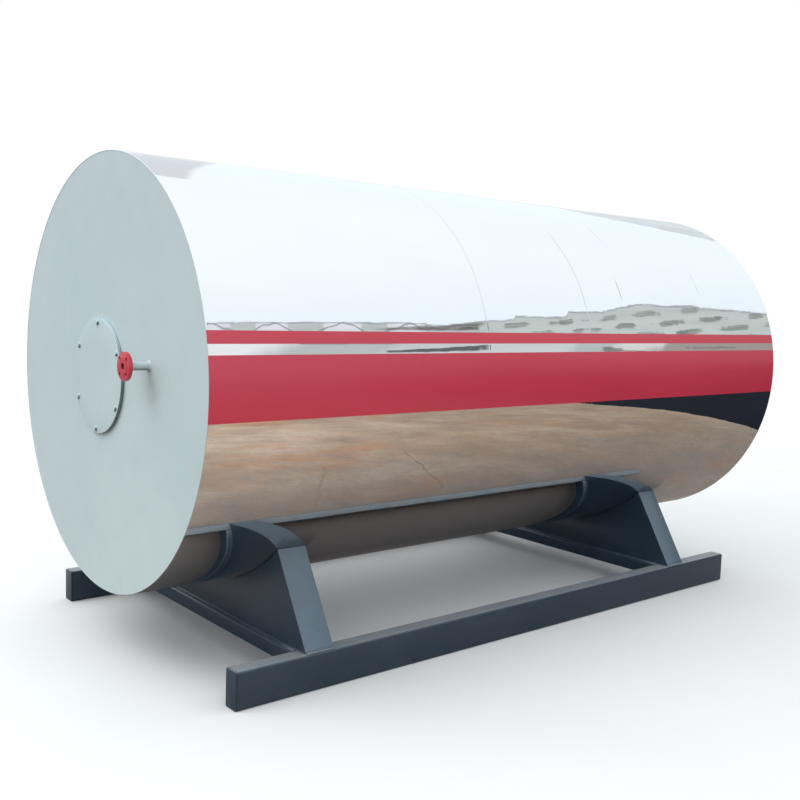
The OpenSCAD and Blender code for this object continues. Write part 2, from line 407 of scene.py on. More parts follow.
def end_paint(name="end_paint", a=(0.600, 0.738, 0.764), b=(0.684, 0.812, 0.824), dark=(0.41, 0.515, 0.56)):
    """Pale grey-green machinery paint, sprayed, with a faint unevenness in the plate behind it."""
    k = Mat(name)
    cloud = k.noise(1.3, 4, 0.55)
    base = k.mix(k.range(cloud, 0.3, 0.7, 0, 1), a, b)
    blot = k.noise(7.5, 5, 0.6, distort=0.3)
    base = k.mix(k.range(blot, 0.50, 0.8, 0, 0.16), base, dark)
    drip = k.noise(22, 4, 0.65, at=k.coords((1, 1, 0.12)))
    base = k.mix(k.range(drip, 0.66, 0.82, 0, 0.10), base, dark)
    # painted shade: the paint gets darker towards the top, evening out the light that falls brighter there
    base = k.mix(k.range(k.xyz()[2], 0.35, 2.15, 0, 0.62), base, dark)
    # painted shade on every face that points down, such as the undersides of the pipe and cover
    down = k.range(k.normal_z(), -0.20, -0.90, 0, 1, smooth=True)
    base = k.mix(k.math("MULTIPLY", down, 0.80), base, (0.13, 0.16, 0.17))
    k.color(base)
    k.rough(k.range(k.noise(9, 3), 0.3, 0.7, 0.36, 0.50))
    k.put(Specular_IOR_Level=0.45, Coat_Weight=0.10, Coat_Roughness=0.25)
    slow = k.bump(k.noise(2.4, 2, 0.4), 0.30, 0.006)
    k.norm(k.bump(k.noise(620, 2, 0.5), 0.06, 0.0004, slow))
    return k.m


def bolt_paint():
    """Bolt heads in the end plates' paint, with painted light on what faces up, painted shade on what faces down, and a
    few darker dirt patches.
    """
    k = Mat("bolt_steel")
    n = k.noise(60, 4, 0.6)
    up = k.normal_z()
    # painted light on the upward faces of each head, painted shade on the downward ones
    lit_and_shaded_flank = k.mix(k.range(up, -0.15, 0.55, 0, 1, smooth=True), (0.020, 0.027, 0.030), (0.60, 0.72, 0.75))
    base = k.mix(k.range(k.facing_end(), 0.55, 0.85, 0, 1, smooth=True), lit_and_shaded_flank, (0.58, 0.71, 0.745))
    base = k.mix(k.range(n, 0.56, 0.72, 0, 0.35), base, (0.16, 0.19, 0.20))
    k.color(base)
    k.rough(k.range(n, 0.3, 0.7, 0.30, 0.5))
    k.norm(k.bump(k.noise(400, 2), 0.2, 0.0003))
    return k.m


def edge_paint():
    """The turned edge of a cover: a dark grey that paints the shade on it, glossy so it reflects the sky, with painted
    light on its upward-facing part.
    """
    k = Mat("cover_edge")
    n = k.noise(38, 4, 0.6)
    up = k.normal_z()
    # painted shade: a dark grey all round the edge
    base = k.mix(k.range(n, 0.35, 0.7, 0, 1), (0.125, 0.165, 0.175), (0.17, 0.215, 0.225))
    # painted highlight where the edge faces up
    base = k.mix(k.range(up, 0.25, 0.8, 0, 0.9, smooth=True), base, (0.62, 0.74, 0.78))
    k.color(base)
    k.put(Metallic=0.2, Specular_IOR_Level=0.6)
    k.rough(k.range(n, 0.3, 0.7, 0.285, 0.41))
    k.norm(k.bump(k.noise(300, 3), 0.15, 0.0004))
    return k.m


def bore_painted_shade():
    # painted shade: the inside of the stub pipe is a dark red that stands for the shade deep in the bore
    k = Mat("pipe_bore")
    n = k.noise(90, 4, 0.65)
    k.color(k.mix(k.range(n, 0.35, 0.7, 0, 1), (0.160, 0.020, 0.032), (0.290, 0.034, 0.055)))
    k.rough(k.range(n, 0.3, 0.7, 0.55, 0.8))
    k.norm(k.bump(k.noise(300, 3), 0.4, 0.0006))
    return k.m


def red_enamel():
    k = Mat("red_paint")
    n = k.noise(24, 4, 0.6)
    base = k.mix(k.range(n, 0.35, 0.7, 0, 1), (0.530, 0.030, 0.058), (0.650, 0.052, 0.090))
    chip = k.noise(85, 4, 0.7)
    base = k.mix(k.range(chip, 0.69, 0.74, 0, 0.6), base, (0.20, 0.03, 0.035))
    k.color(base)
    k.rough(k.range(n, 0.3, 0.7, 0.29, 0.42))
    k.put(Specular_IOR_Level=0.5, Coat_Weight=0.25, Coat_Roughness=0.15)
    k.norm(k.bump(k.noise(180, 3), 0.18, 0.0005))
    return k.m


def dark_jointing():
    k = Mat("gasket")
    n = k.noise(120, 3)
    k.color(k.mix(n, (0.030, 0.032, 0.033), (0.075, 0.078, 0.078)))
    k.rough(k.range(n, 0.3, 0.7, 0.7, 0.9))
    return k.m


def rolled_steel():
    k = Mat("drum_steel")
    n = k.noise(6, 4, 0.6)
    k.put(Metallic=0.7)
    k.color(k.mix(n, (0.16, 0.165, 0.17), (0.28, 0.285, 0.29)))
    k.rough(k.range(n, 0.3, 0.7, 0.4, 0.65))
    k.norm(k.bump(k.noise(90, 3), 0.3, 0.0008))
    return k.m


def skid_paint():
    """Dark blue-grey gloss paint over hot-rolled steel, with pale dust on what faces up and painted sky light on the
    up-leaning faces.
    """
    k = Mat("skid_paint")
    cloud = k.noise(2.6, 5, 0.6)
    base = k.mix(k.range(cloud, 0.2, 0.8, 0, 1, smooth=True), (0.012, 0.034, 0.060), (0.021, 0.049, 0.082))
    brush = k.noise(30, 3, 0.6, at=k.coords((1, 0.08, 1)))
    base = k.mix(k.range(brush, 0.52, 0.75, 0, 0.22), base, (0.050, 0.080, 0.110))
    up = k.normal_z()
    patchy = k.range(k.noise(9, 5, 0.65), 0.3, 0.7, 0.75, 1.0)
    x, y, z = k.xyz()[:3]
    # pale dust and painted sky light on the faces that lean up, such as the saddles' side plates
    lean = k.math("MULTIPLY", k.range(up, 0.22, 0.60, 0, 0.38, smooth=True), patchy)
    lean = k.math("MULTIPLY", lean, k.range(z, 0.160, 0.172, 0, 1))
    base = k.mix(lean, base, (0.250, 0.375, 0.470))
    level = k.math("MULTIPLY", k.range(up, 0.70, 0.98, 0, 0.78, smooth=True), patchy)
    level = k.math("MULTIPLY", level, k.range(k.math("ABSOLUTE", x), 0.70, 0.79, 0.25, 1.0))
    base = k.mix(level, base, (0.330, 0.355, 0.372))
    scuff = k.noise(55, 5, 0.7)
    base = k.mix(k.range(scuff, 0.70, 0.76, 0, 0.40), base, (0.12, 0.145, 0.165))
    low = k.range(z, 0.0, 0.06, 0.30, 0.0)
    base = k.mix(k.math("MULTIPLY", low, k.range(k.noise(16, 4), 0.35, 0.7, 0, 1)), base, (0.10, 0.100, 0.098))
    k.color(base)
    k.rough(k.math("ADD", k.range(cloud, 0.2, 0.8, 0.30, 0.40, smooth=True), k.math("MULTIPLY", level, 0.12)))
    k.put(Specular_IOR_Level=0.78, Sheen_Weight=0.16, Sheen_Roughness=0.32)
    k.b.inputs["Sheen Tint"].default_value = (0.86, 0.94, 1.0, 1)
    slow = k.bump(k.noise(9, 2), 0.15, 0.003)
    k.norm(k.bump(k.noise(260, 3, 0.6), 0.10, 0.0005, slow))
    return k.m


# Place along the casing, from z, to z, half width, strength, on both sides
SADDLES = (FACE0 + 0.570, FACE0 + 3.042)
CREASES = [
    (SEAM_B + 0.0, AX + 0.33, AX + 0.76, 0.0038, 0.50, True),
    (SEAM_A + 0.0, AX + 0.20, AX + 0.92, 0.0036, 0.30, True),
    (FACE0 + 2.536, AX + 0.70, AX + 0.81, 0.0045, 0.50, False),
    (FACE0 + 2.440, AX + 0.38, AX + 0.53, 0.0045, 0.75, False),
    (FACE0 + 3.166, AX + 0.43, AX + 0.60, 0.0045, 0.45, False),
]

STEEL = polished_steel()
STRIPE = stripe_red()
END = end_paint()
BOLT = bolt_paint()
EDGE = edge_paint()
BORE = bore_painted_shade()
RED = red_enamel()
GASKET = dark_jointing()
DRUM = rolled_steel()
SKID = skid_paint()


# ---------------------------------------------------------------- polished cladding
ANG = np.arange(576) * (360.0 / 576)
EDGES = []
for a0, a1 in STRIPES:
    EDGES += [a0, a1, 180 - a0, 180 - a1]
for e in EDGES:
    e = e % 360
    i = int(np.argmin(np.minimum(np.abs(ANG - e), 360 - np.abs(ANG - e))))
    ANG[i] = e
TH = np.radians(ANG)

# Slow waves in the thin sheet: whole waves round the casing, free ones along it
WAVES = []
for _ in range(22):
    m = int(RNG.integers(1, 9))
    L = RNG.uniform(0.45, 2.6)
    WAVES.append((m, 2 * math.pi / L, RNG.uniform(0, 2 * math.pi), RNG.uniform(0, 2 * math.pi),
                  RNG.uniform(0.4, 1.0) / (1 + 0.18 * m) * min(1.0, L / 1.2)))
NORM = sum(w[4] for w in WAVES)


def waviness(th, y, shift):
    out = 0.0
    for m, ky, p, q, a in WAVES:
        out = out + a * np.cos(m * th + p + shift) * np.cos(ky * y + q + 1.7 * shift)
    return out / NORM * 2.0


def cladding(name, y0, y1, lip0, lip1, shift):
    n_in = int(round((y1 - y0) / 0.02))
    ys = list(np.linspace(y0 + 0.006, y1 - 0.006, n_in))
    # (distance from the sheet's end, drop of the outer face there)
    turned = [(0.0, 0.0014), (0.0002, 0.0008), (0.0006, 0.0003), (0.0012, 0.00006), (0.0025, 0.0)]
    butt = [(0.0, 0.00020), (0.0002, 0.00010), (0.0005, 0.00004), (0.0010, 0.00001), (0.0020, 0.0)]
    outer = [(y0 + d, r) for d, r in (turned if lip0 else butt)] + [(y, 0.0) for y in ys]
    outer += [(y1 - d, r) for d, r in (turned if lip1 else butt)[::-1]]
    n = len(TH)
    rows = []
    for y, drop in outer:
        d0, d1 = y - y0, y1 - y
        pillow = 0.0
        if not lip0:
            pillow += 0.00018 * math.exp(-(d0 / 0.07) ** 2)
        if not lip1:
            pillow += 0.00018 * math.exp(-(d1 / 0.07) ** 2)
        calm = 1 - 0.85 * math.exp(-(min(d0, d1) / 0.10) ** 2)
        w = 0.0011 * np.tanh(waviness(TH, y, shift)) * calm
        rr = R - 0.0011 + w - drop - pillow
        rows.append(np.column_stack([rr * np.cos(TH), np.full(n, y), AX + rr * np.sin(TH)]))
    n_outer = len(rows)
    for y in (y1, y1 - 0.01, y0 + 0.01, y0):
        rr = R - SHEET
        rows.append(np.column_stack([rr * np.cos(TH), np.full(n, y), AX + rr * np.sin(TH)]))
    v = np.concatenate(rows)
    f = grid_faces(len(rows), n, close_rows=True, flip=True)
    mid = (ANG + np.concatenate([ANG[1:], [360 + ANG[0]]])) / 2
    mid = (mid + 180) % 360 - 180
    above = np.where(np.abs(mid) <= 90, mid, np.sign(mid) * 180 - mid)
    red = np.zeros(n, int)
    for a0, a1 in STRIPES:
        red |= ((above > a0) & (above < a1)).astype(int)
    fm = np.zeros((len(rows), n), int)
    fm[(1 if lip0 else 0):n_outer - (2 if lip1 else 1), :] = red[None, :]
    vv = v - np.array([0, (y0 + y1) / 2, AX])
    # a face of the outer skin points away from the axis
    q = f[(n_outer // 2) * n]
    nrm = np.cross(vv[q[1]] - vv[q[0]], vv[q[2]] - vv[q[0]])
    if np.dot(nrm, vv[q[0]] * np.array([1, 0, 1])) < 0:
        f = [p[::-1] for p in f]
    # every face is split along the same diagonal, so the sheen runs evenly over the waves
    f = [t for a, b, c, d in f for t in ((a, b, c), (a, c, d))]
    return make(name + "_sheet", v, f, [STEEL, STRIPE], np.repeat(fm.reshape(-1), 2), smooth_deg=50,
                node=name)


cladding("cladding_front", LIP0, SEAM_A, True, False, 0.0)
cladding("cladding_middle", SEAM_A, SEAM_B, False, False, 0.9)
cladding("cladding_rear", SEAM_B, LIP1, False, True, 2.1)


# ---------------------------------------------------------------- covers, bolts
def cover(name, face, out):
    """Round cover plate with a turned edge. out is -1 on the front end, 1 on the rear."""
    b0, b1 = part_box(name)
    r = (b1.x - b0.x) / 2
    inner, outer = (b1.y, b0.y) if out < 0 else (b0.y, b1.y)
    t = abs(outer - inner)
    c = 0.0016
    s = -1 if out < 0 else 1
    prof = [(0.0004, inner), (r - 0.0006, inner), (r, inner + s * 0.0006)]
    prof += [(r, inner + s * (t - c))]
    prof += [(r - c * (1 - math.cos(a)), inner + s * (t - c + c * math.sin(a))) for a in np.radians([22.5, 45, 67.5, 90])]
    prof += [(r * 0.62, outer), (r * 0.3, outer), (0.0004, outer)]
    v, f = lathe(prof, 192, CX, CZ)
    fm = np.zeros((len(prof), 192), int)
    fm[2:3, :] = 1
    return make(name + "_turned", v, outward(v - v.mean(0), f), [END, EDGE], fm.reshape(-1), smooth_deg=28,
                node=name)


cover("front_cover_plate", FACE0, -1)
cover("rear_cover_plate", FACE1, 1)


def hexagon(af):
    r = af / 2 / math.cos(math.pi / 6)
    return [(r * math.cos(math.radians(60 * i)), r * math.sin(math.radians(60 * i))) for i in range(6)]


def bolt_mesh(x, z, face, out, turn):
    """A washer and a chamfered hexagon head on a face at that y."""
    parts = []
    w_t, h_t, af = 0.0022, 0.0058, 0.019
    wr = 0.0118
    prof = [(0.004, face), (wr, face), (wr, face + out * (w_t - 0.0004)), (wr - 0.0004, face + out * w_t), (0.004, face + out * w_t)]
    v, f = lathe(prof, 40, x, z)
    parts.append((v, outward(v - v.mean(0), f)))
    # hexagon prism with the corners turned off in a cone on top
    n = 48
    t = np.linspace(0, 2 * math.pi, n, endpoint=False)
    hexr = (af / 2) / np.cos((t + math.pi / 6) % (math.pi / 3) - math.pi / 6)
    y0 = face + out * w_t
    y1 = y0 + out * h_t
    rings = []
    drop = np.clip((hexr - af / 2 * 0.97) * 0.55, 0, 0.0014)
    rings.append((hexr, np.full(n, y0)))
    rings.append((hexr, y1 - out * (0.0002 + drop)))
    rings.append((np.minimum(hexr, af / 2 * 0.97), np.full(n, y1)))
    rings.append((np.full(n, af / 2 * 0.55), np.full(n, y1)))
    rows = [np.column_stack([x + r * np.cos(t + turn), y, z + r * np.sin(t + turn)]) for r, y in rings]
    v = np.concatenate(rows)
    f = grid_faces(len(rings), n)
    f.append(tuple(range(n)))
    f.append(tuple(range(3 * n, 4 * n))[::-1])
    parts.append((v, outward(v - v.mean(0), f)))
    return parts


def bolts(name, face, out):
    parts = []
    for i in range(6):
        a = math.radians(BOLT_TURN + 60 * i)
        parts += bolt_mesh(CX + BOLT_R * math.sin(a), CZ + BOLT_R * math.cos(a), face, out, RNG.uniform(0, 1.0))
    v, f = join(parts)
    return make(name + "_heads", v, f, [BOLT], smooth_deg=24, node=name)


bolts("front_cover_bolts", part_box("front_cover_plate")[0].y, -1)
bolts("rear_cover_bolts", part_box("rear_cover_plate")[1].y, 1)


# ---------------------------------------------------------------- flanged stub
b0, b1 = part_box("stub_flange")
SX, SZ = (b0.x + b1.x) / 2, (b0.z + b1.z) / 2
FY0, FY1 = b0.y, b1.y
PR = 0.03370 / 2


def flange():
    """Flange with four drilled holes: bands of a polar grid, with the holes cut between them."""
    ro, rr, ri = 0.0575, 0.034, 0.01365
    n = 240
    front, back = FY0 + 0.002, FY1
    t = np.linspace(0, 2 * math.pi, n, endpoint=False)
    hole_r, pcd = 0.007, 0.0425
    import bmesh
    bm = bmesh.new()
    prof = [(ri, FY0 + 0.0006), (ri + 0.0006, FY0), (rr - 0.0005, FY0), (rr, FY0 + 0.0005), (rr, front - 0.0002), (rr + 0.0004, front),
            (ro - 0.0012, front), (ro - 0.0003, front + 0.0003), (ro, front + 0.0012), (ro, back - 0.0012), (ro - 0.0003, back - 0.0003),
            (ro - 0.0012, back), (PR, back), (PR, back - 0.004), (ri, back - 0.004)]
    v, f = lathe(prof, n, SX, SZ)
    vs = [bm.verts.new(p) for p in v]
    for q in f:
        bm.faces.new([vs[i] for i in q])
    bmesh.ops.recalc_face_normals(bm, faces=bm.faces)
    me = bpy.data.meshes.new("flange_blank")
    bm.to_mesh(me)
    bm.free()
    blank = bpy.data.objects.new("flange_blank", me)
    bpy.context.scene.collection.objects.link(blank)
    parts = []
    for a in (45, 135, 225, 315):
        px, pz = SX + pcd * math.cos(math.radians(a)), SZ + pcd * math.sin(math.radians(a))
        prof = [(0.0001, FY0 - 0.01), (hole_r, FY0 - 0.01), (hole_r, FY1 + 0.01), (0.0001, FY1 + 0.01)]
        pv, pf = lathe(prof, 40, px, pz)
        parts.append((pv, outward(pv - pv.mean(0), pf)))
    pv, pf = join(parts)
    me2 = bpy.data.meshes.new("drill")
    me2.from_pydata([tuple(p) for p in pv], [], pf)
    drill = bpy.data.objects.new("drill", me2)
    bpy.context.scene.collection.objects.link(drill)
    mod = blank.modifiers.new("holes", "BOOLEAN")
    mod.operation = "DIFFERENCE"
    mod.object = drill
    mod.solver = "EXACT"
    dg = bpy.context.evaluated_depsgraph_get()
    done = bpy.data.meshes.new_from_object(blank.evaluated_get(dg))
    verts = np.array([p.co for p in done.vertices])
    faces = [tuple(p.vertices) for p in done.polygons]
    for o in (blank, drill):
        bpy.data.objects.remove(o)
    return make("stub_flange_turned", verts, faces, [RED], smooth_deg=28, node="stub_flange")


flange()


def pipe():
    b0, b1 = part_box("stub_pipe")
    ri = PR - 0.0032
    prof = [(PR, b0.y + 0.001), (PR, b1.y), (ri, b1.y), (ri, b0.y + 0.001)]
    mid = np.linspace(b0.y + 0.001, b1.y, 12)
    prof = [(PR, y) for y in mid] + [(ri, y) for y in mid[::-1]]
    v, f = lathe(prof, 72, SX, SZ)
    fm = np.zeros((len(prof), 72), int)
    fm[12:, :] = 1
    return make("stub_pipe_drawn", v, outward(v - v.mean(0), f), [END, BORE], fm.reshape(-1), smooth_deg=40,
                node="stub_pipe")


pipe()


def ring(x0, z0, r, y, n=72):
    t = np.linspace(0, 2 * math.pi, n, endpoint=False)
    p = np.column_stack([x0 + r * np.cos(t), np.full(n, y), z0 + r * np.sin(t)])
    d = np.column_stack([np.cos(t), np.zeros(n), np.sin(t)])
    return p, d


parts = []
p, d = ring(SX, SZ, PR, FACE0)
parts.append(bead(p, d, (0, -1, 0), 0.0065, step=0.0016, closed=True, seed=3))
p, d = ring(SX, SZ, PR, FY1)
parts.append(bead(p, d, (0, 1, 0), 0.0045, step=0.0016, closed=True, seed=4))
v, f = join(parts)
make("stub_welds", v, f, [END], smooth_deg=60)


# ---------------------------------------------------------------- skid
def bar(name, loop, w0, w1, place, bevel, mat=None, tag="_rolled", deg=30):
    v, f = prism(ccw(loop), w0, w1, bevel, place)
    return make(name + tag, v, outward(v - v.mean(0), f), [mat or SKID], smooth_deg=deg, node=name)


BEAM = {}
for side in ("right", "left"):
    b0, b1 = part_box(side + "_skid_beam")
    x0, z0 = (b0.x + b1.x) / 2, (b0.z + b1.z) / 2
    w, h = b1.x - b0.x, b1.z - b0.z
    BEAM[side] = (b0, b1)
    loop = round_rect(w, h, 0.010)
    bar(side + "_skid_beam", loop, b0.y, b1.y, along_y(x0, z0), 0.0004)
    for end in ("front", "rear"):
        c0, c1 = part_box(f"{side}_beam_{end}_cap")
        loop_c = [(u * (1 - 0.0008 / w * 2), v_ * (1 - 0.0008 / h * 2)) for u, v_ in loop]
        bar(f"{side}_beam_{end}_cap", loop_c, c0.y, c1.y, along_y(x0, z0), 0.0022)

for which in ("front", "rear"):
    b0, b1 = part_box(which + "_crossbeam")
    loop = round_rect(b1.y - b0.y, b1.z - b0.z, 0.010)
    bar(which + "_crossbeam", loop, b0.x, b1.x, along_x((b0.y + b1.y) / 2, (b0.z + b1.z) / 2), 0.0004)

FOOT_X, HEAD_X = 0.872, 0.640
BEAM_H = BEAM["right"][1].z
HEAD_Z = AX - math.sqrt(R * R - HEAD_X * HEAD_X)
LEAN = (FOOT_X - HEAD_X) / (HEAD_Z - BEAM_H)
PLATE = 0.010
SIDE_W = PLATE * math.sqrt(1 + LEAN * LEAN)


def meet_circle(x_foot):
    """Where the leaning line from x_foot on the beam meets the casing."""
    lo_, hi_ = BEAM_H, AX
    for _ in range(60):
        z = (lo_ + hi_) / 2
        x = x_foot - LEAN * (z - BEAM_H)
        if math.hypot(x, z - AX) > R:
            lo_ = z
        else:
            hi_ = z
    return x_foot - LEAN * (lo_ - BEAM_H), lo_


XI = FOOT_X - SIDE_W
XT, ZT = meet_circle(XI)
XO, ZO = meet_circle(FOOT_X)

for which in ("front", "rear"):
    for part_name in ("front_web", "rear_web"):
        name = f"{which}_saddle_{part_name}"
        b0, b1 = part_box(name)
        a1 = math.degrees(math.atan2(ZT - AX, XT))
        seat = arc(0, AX, R, a1, -180 - a1, 120)
        loop = [(-XI, BEAM_H), (XI, BEAM_H)] + seat
        v, f = prism(ccw(loop), b0.y, b1.y, 0.0008, along_y())
        make(name + "_plate", v, outward(v - v.mean(0), f), [SKID], smooth_deg=30, node=name)
    for side, s in (("right", 1), ("left", -1)):
        name = f"{which}_saddle_{side}_plate"
        b0, b1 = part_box(name)
        loop = [(s * XI, BEAM_H), (s * FOOT_X, BEAM_H), (s * XO, ZO), (s * XT, ZT)]
        v, f = prism(ccw(loop), b0.y, b1.y, 0.0012, along_y())
        make(name + "_cut", v, outward(v - v.mean(0), f), [SKID], smooth_deg=30, node=name)

    # welds of this saddle
    parts = []
    y0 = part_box(f"{which}_saddle_front_web")[0].y
    y1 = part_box(f"{which}_saddle_rear_web")[1].y
    up = np.array([-LEAN, 0, 1.0]) / math.sqrt(1 + LEAN * LEAN)
    for s in (1, -1):
        dirs = up * np.array([s, 1, 1])
        parts.append(bead([(s * FOOT_X, y0, BEAM_H), (s * FOOT_X, y1, BEAM_H)], (s, 0, 0), dirs, 0.0050, seed=11 + s))
    for y, dy in ((y0, -1), (y1, 1)):
        parts.append(bead([(-XI, y, BEAM_H), (XI, y, BEAM_H)], (0, dy, 0), (0, 0, 1), 0.0032, seed=21 + dy))
    v, f = join(parts)
    make(f"{which}_saddle_welds", v, f, [SKID], smooth_deg=60)

# welds between the crossbeams and the long beams
parts = []
for which in ("front", "rear"):
    b0, b1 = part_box(which + "_crossbeam")
    for s in (1, -1):
        x = s * b1.x
        for y, dy in ((b0.y, -1), (b1.y, 1)):
            parts.append(bead([(x, y, b0.z + 0.006), (x, y, b1.z - 0.006)], (-s, 0, 0), (0, dy, 0), 0.0065, seed=31 + s + dy))
        parts.append(bead([(x, b0.y + 0.006, b0.z), (x, b1.y - 0.006, b0.z)], (-s, 0, 0), (0, 0, -1), 0.006, seed=41 + s))
v, f = join(parts)
make("skid_welds", v, f, [SKID], smooth_deg=60)

# ---------------------------------------------------------------- CAD nodes that stay
for node, mat in (("front_end_plate", END), ("rear_end_plate", END), ("casing_drum", DRUM),
                  ("front_cover_gasket", GASKET), ("rear_cover_gasket", GASKET)):
    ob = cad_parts[node]
    if not ob.material_slots:
        ob.data.materials.append(mat)
    for sl in ob.material_slots:
        sl.material = mat


# ---------------------------------------------------------------- stage, light, camera
def plane(name, half, z, mat):
    me = bpy.data.meshes.new(name)
    me.from_pydata([(-half, -half, z), (half, -half, z), (half, half, z), (-half, half, z)], [], [(0, 1, 2, 3)])
    me.materials.append(mat)
    ob = bpy.data.objects.new(name, me)
    bpy.context.scene.collection.objects.link(ob)
    return ob


def floor_pale():
    """Plain pale floor that fades into the background far from the part."""
    k = Mat("floor_pale")
    n = k.noise(0.9, 4, 0.5)
    k.color(k.mix(k.range(n, 0.3, 0.7, 0, 1), (0.84, 0.84, 0.835), (0.87, 0.87, 0.865)))
    k.put(Roughness=0.9, Specular_IOR_Level=0.1)
    glow = k.t.nodes.new("ShaderNodeEmission")
    glow.inputs[0].default_value = (1, 1, 1, 1)
    far = k.t.nodes.new("ShaderNodeVectorMath")
    far.operation = "LENGTH"
    k.link(k.tc.outputs["Object"], far.inputs[0])
    both = k.t.nodes.new("ShaderNodeMixShader")
    k.link(k.range(far.outputs["Value"], 3.2, 8.5, 0, 1, smooth=True), both.inputs[0])
    k.link(k.b.outputs[0], both.inputs[1])
    k.link(glow.outputs[0], both.inputs[2])
    k.link(both.outputs[0], k.out.inputs[0])
    return k.m


def ground_mirrored():
    """Mottled ground that only the polished sheet sees."""
    k = Mat("ground_mirrored")
    x, y = k.xyz()[:2]
    big = k.noise(0.55, 6, 0.62, distort=0.8)
    base = k.mix(k.range(big, 0.3, 0.7, 0, 1), (0.440, 0.318, 0.222), (0.590, 0.455, 0.335))
    pale = k.noise(1.1, 6, 0.65, at=k.coords((1, 0.75, 1)), distort=0.6)
    base = k.mix(k.range(pale, 0.50, 0.72, 0, 0.75), base, (0.700, 0.600, 0.480))
    stain = k.noise(1.5, 6, 0.66, at=k.coords((1, 0.75, 1)), distort=0.7)
    base = k.mix(k.range(stain, 0.57, 0.68, 0, 0.60), base, (0.62, 0.285, 0.110))
    dark = k.noise(2.3, 7, 0.68, at=k.coords((1, 0.90, 1)), distort=0.5)
    base = k.mix(k.range(dark, 0.54, 0.74, 0, 0.60), base, (0.240, 0.185, 0.150))
    grit = k.noise(16, 6, 0.75, at=k.coords((1, 0.9, 1)))
    base = k.mix(k.range(grit, 0.38, 0.70, 0, 0.36), base, (0.310, 0.235, 0.180))
    chips = k.noise(9, 5, 0.7, at=k.coords((1, 0.35, 1)))
    base = k.mix(k.range(chips, 0.735, 0.765, 0, 0.7), base, (0.75, 0.73, 0.68))
    wob = k.math("MULTIPLY", k.math("SUBTRACT", k.noise(4.0, 5, 0.65), 0.5), 0.10)
    for x0, y0, x1, y1 in ((1.85, 0.195, 1.38, 0.108), (1.38, 0.108, 1.04, 0.108), (1.67, -0.47, 1.24, -0.69),
                           (1.24, -0.69, 0.90, -0.80)):
        # how far a point lies off a straight crack, and how far along it
        lx, ly = x1 - x0, y1 - y0
        long_ = math.hypot(lx, ly)
        sx, sy = k.math("SUBTRACT", x, x0), k.math("SUBTRACT", y, y0)
        off = k.math("SUBTRACT", k.math("MULTIPLY", sx, ly / long_), k.math("MULTIPLY", sy, lx / long_))
        way = k.math("ADD", k.math("MULTIPLY", sx, lx / long_), k.math("MULTIPLY", sy, ly / long_))
        line = k.range(k.math("ABSOLUTE", k.math("ADD", off, wob)), 0.003, 0.010, 0.50 if y0 > 0 else 0.26, 0.0)
        line = k.math("MULTIPLY", line, k.math("MULTIPLY", k.range(way, -0.02, 0.02, 0, 1),
                                               k.range(way, long_ - 0.02, long_ + 0.02, 1, 0)))
        base = k.mix(line, base, (0.15, 0.11, 0.085))
    streak = k.noise(30, 5, 0.7, at=k.coords((1, 0.60, 1)))
    base = k.mix(k.range(streak, 0.50, 0.72, 0, 0.24), base, (0.250, 0.180, 0.135))
    base = k.mix(k.range(streak, 0.48, 0.28, 0, 0.14), base, (0.700, 0.590, 0.470))
    fleck = k.noise(38, 3, 0.6, at=k.coords((1, 0.4, 1)))
    base = k.mix(k.math("MULTIPLY", k.range(fleck, 0.66, 0.72, 0, 0.7), k.range(k.noise(2.2, 2), 0.50, 0.60, 0, 1)), base,
                 (0.740, 0.690, 0.610))
    wash = k.noise(3.4, 3, 0.5, at=k.coords((1, 0.85, 1)), distort=0.3)
    base = k.mix(k.range(wash, 0.50, 0.70, 0, 0.40), base, (0.300, 0.262, 0.240))
    base = k.mix(k.range(wash, 0.46, 0.28, 0, 0.35), base, (0.660, 0.560, 0.455))
    rust = k.noise(2.6, 5, 0.6, at=k.coords((1, 0.55, 1)), distort=0.5)
    base = k.mix(k.range(rust, 0.57, 0.72, 0, 0.48), base, (0.600, 0.325, 0.170))
    tyre = k.noise(5.5, 5, 0.65, at=k.coords((1, 0.55, 1)), distort=0.3)
    base = k.mix(k.range(tyre, 0.55, 0.72, 0, 0.35), base, (0.330, 0.270, 0.230))
    rear = k.range(y, -1.0, 3.0, 1.0, 0.72, smooth=True)
    # painted shadow on the ground under the boiler: darker and greyer there
    below = k.math("MULTIPLY", k.range(k.math("ABSOLUTE", x), 0.55, 1.05, 1, 0, smooth=True),
                   k.range(k.math("ABSOLUTE", y), 1.6, 2.3, 1, 0, smooth=True))
    rear = k.math("MULTIPLY", rear, k.range(below, 0, 1, 1.0, 0.62))
    base = k.mix(k.math("MULTIPLY", below, 0.75), base, (0.42, 0.40, 0.385))
    rear = k.math("MULTIPLY", rear, k.range(x, 1.1, 3.0, 0.93, 1.10, smooth=True))
    base = k.mix(1.0, base, (0.98, 0.93, 0.915), kind="MULTIPLY")
    base = k.mix(k.range(x, 1.0, 2.0, 0.38, 0.0), base, (0.330, 0.325, 0.325))
    ray = k.t.nodes.new("ShaderNodeLightPath")
    fore = k.math("MULTIPLY", k.range(y, -2.0, -2.8, 0, 0.8), ray.outputs["Is Glossy Ray"])
    base = k.mix(fore, base, (0.270, 0.300, 0.325))
    # painted shade: darker to every ray but a mirror ray, so the ground bounces less light onto the boiler
    rear = k.math("MULTIPLY", rear, k.range(ray.outputs["Is Glossy Ray"], 0, 1, 0.55, 1.0))
    dim = k.t.nodes.new("ShaderNodeVectorMath")
    dim.operation = "SCALE"
    k.link(base, dim.inputs[0])
    k.link(rear, dim.inputs["Scale"])
    k.color(dim.outputs[0])
    k.put(Roughness=0.9, Specular_IOR_Level=0.1)
    return k.m


show = plane("floor", 60, 0.0, floor_pale())
show.visible_glossy = False
show.visible_diffuse = False
show.visible_shadow = False
under = plane("floor_reflected", 60, -0.0015, ground_mirrored())
under.visible_camera = False
under.visible_shadow = False

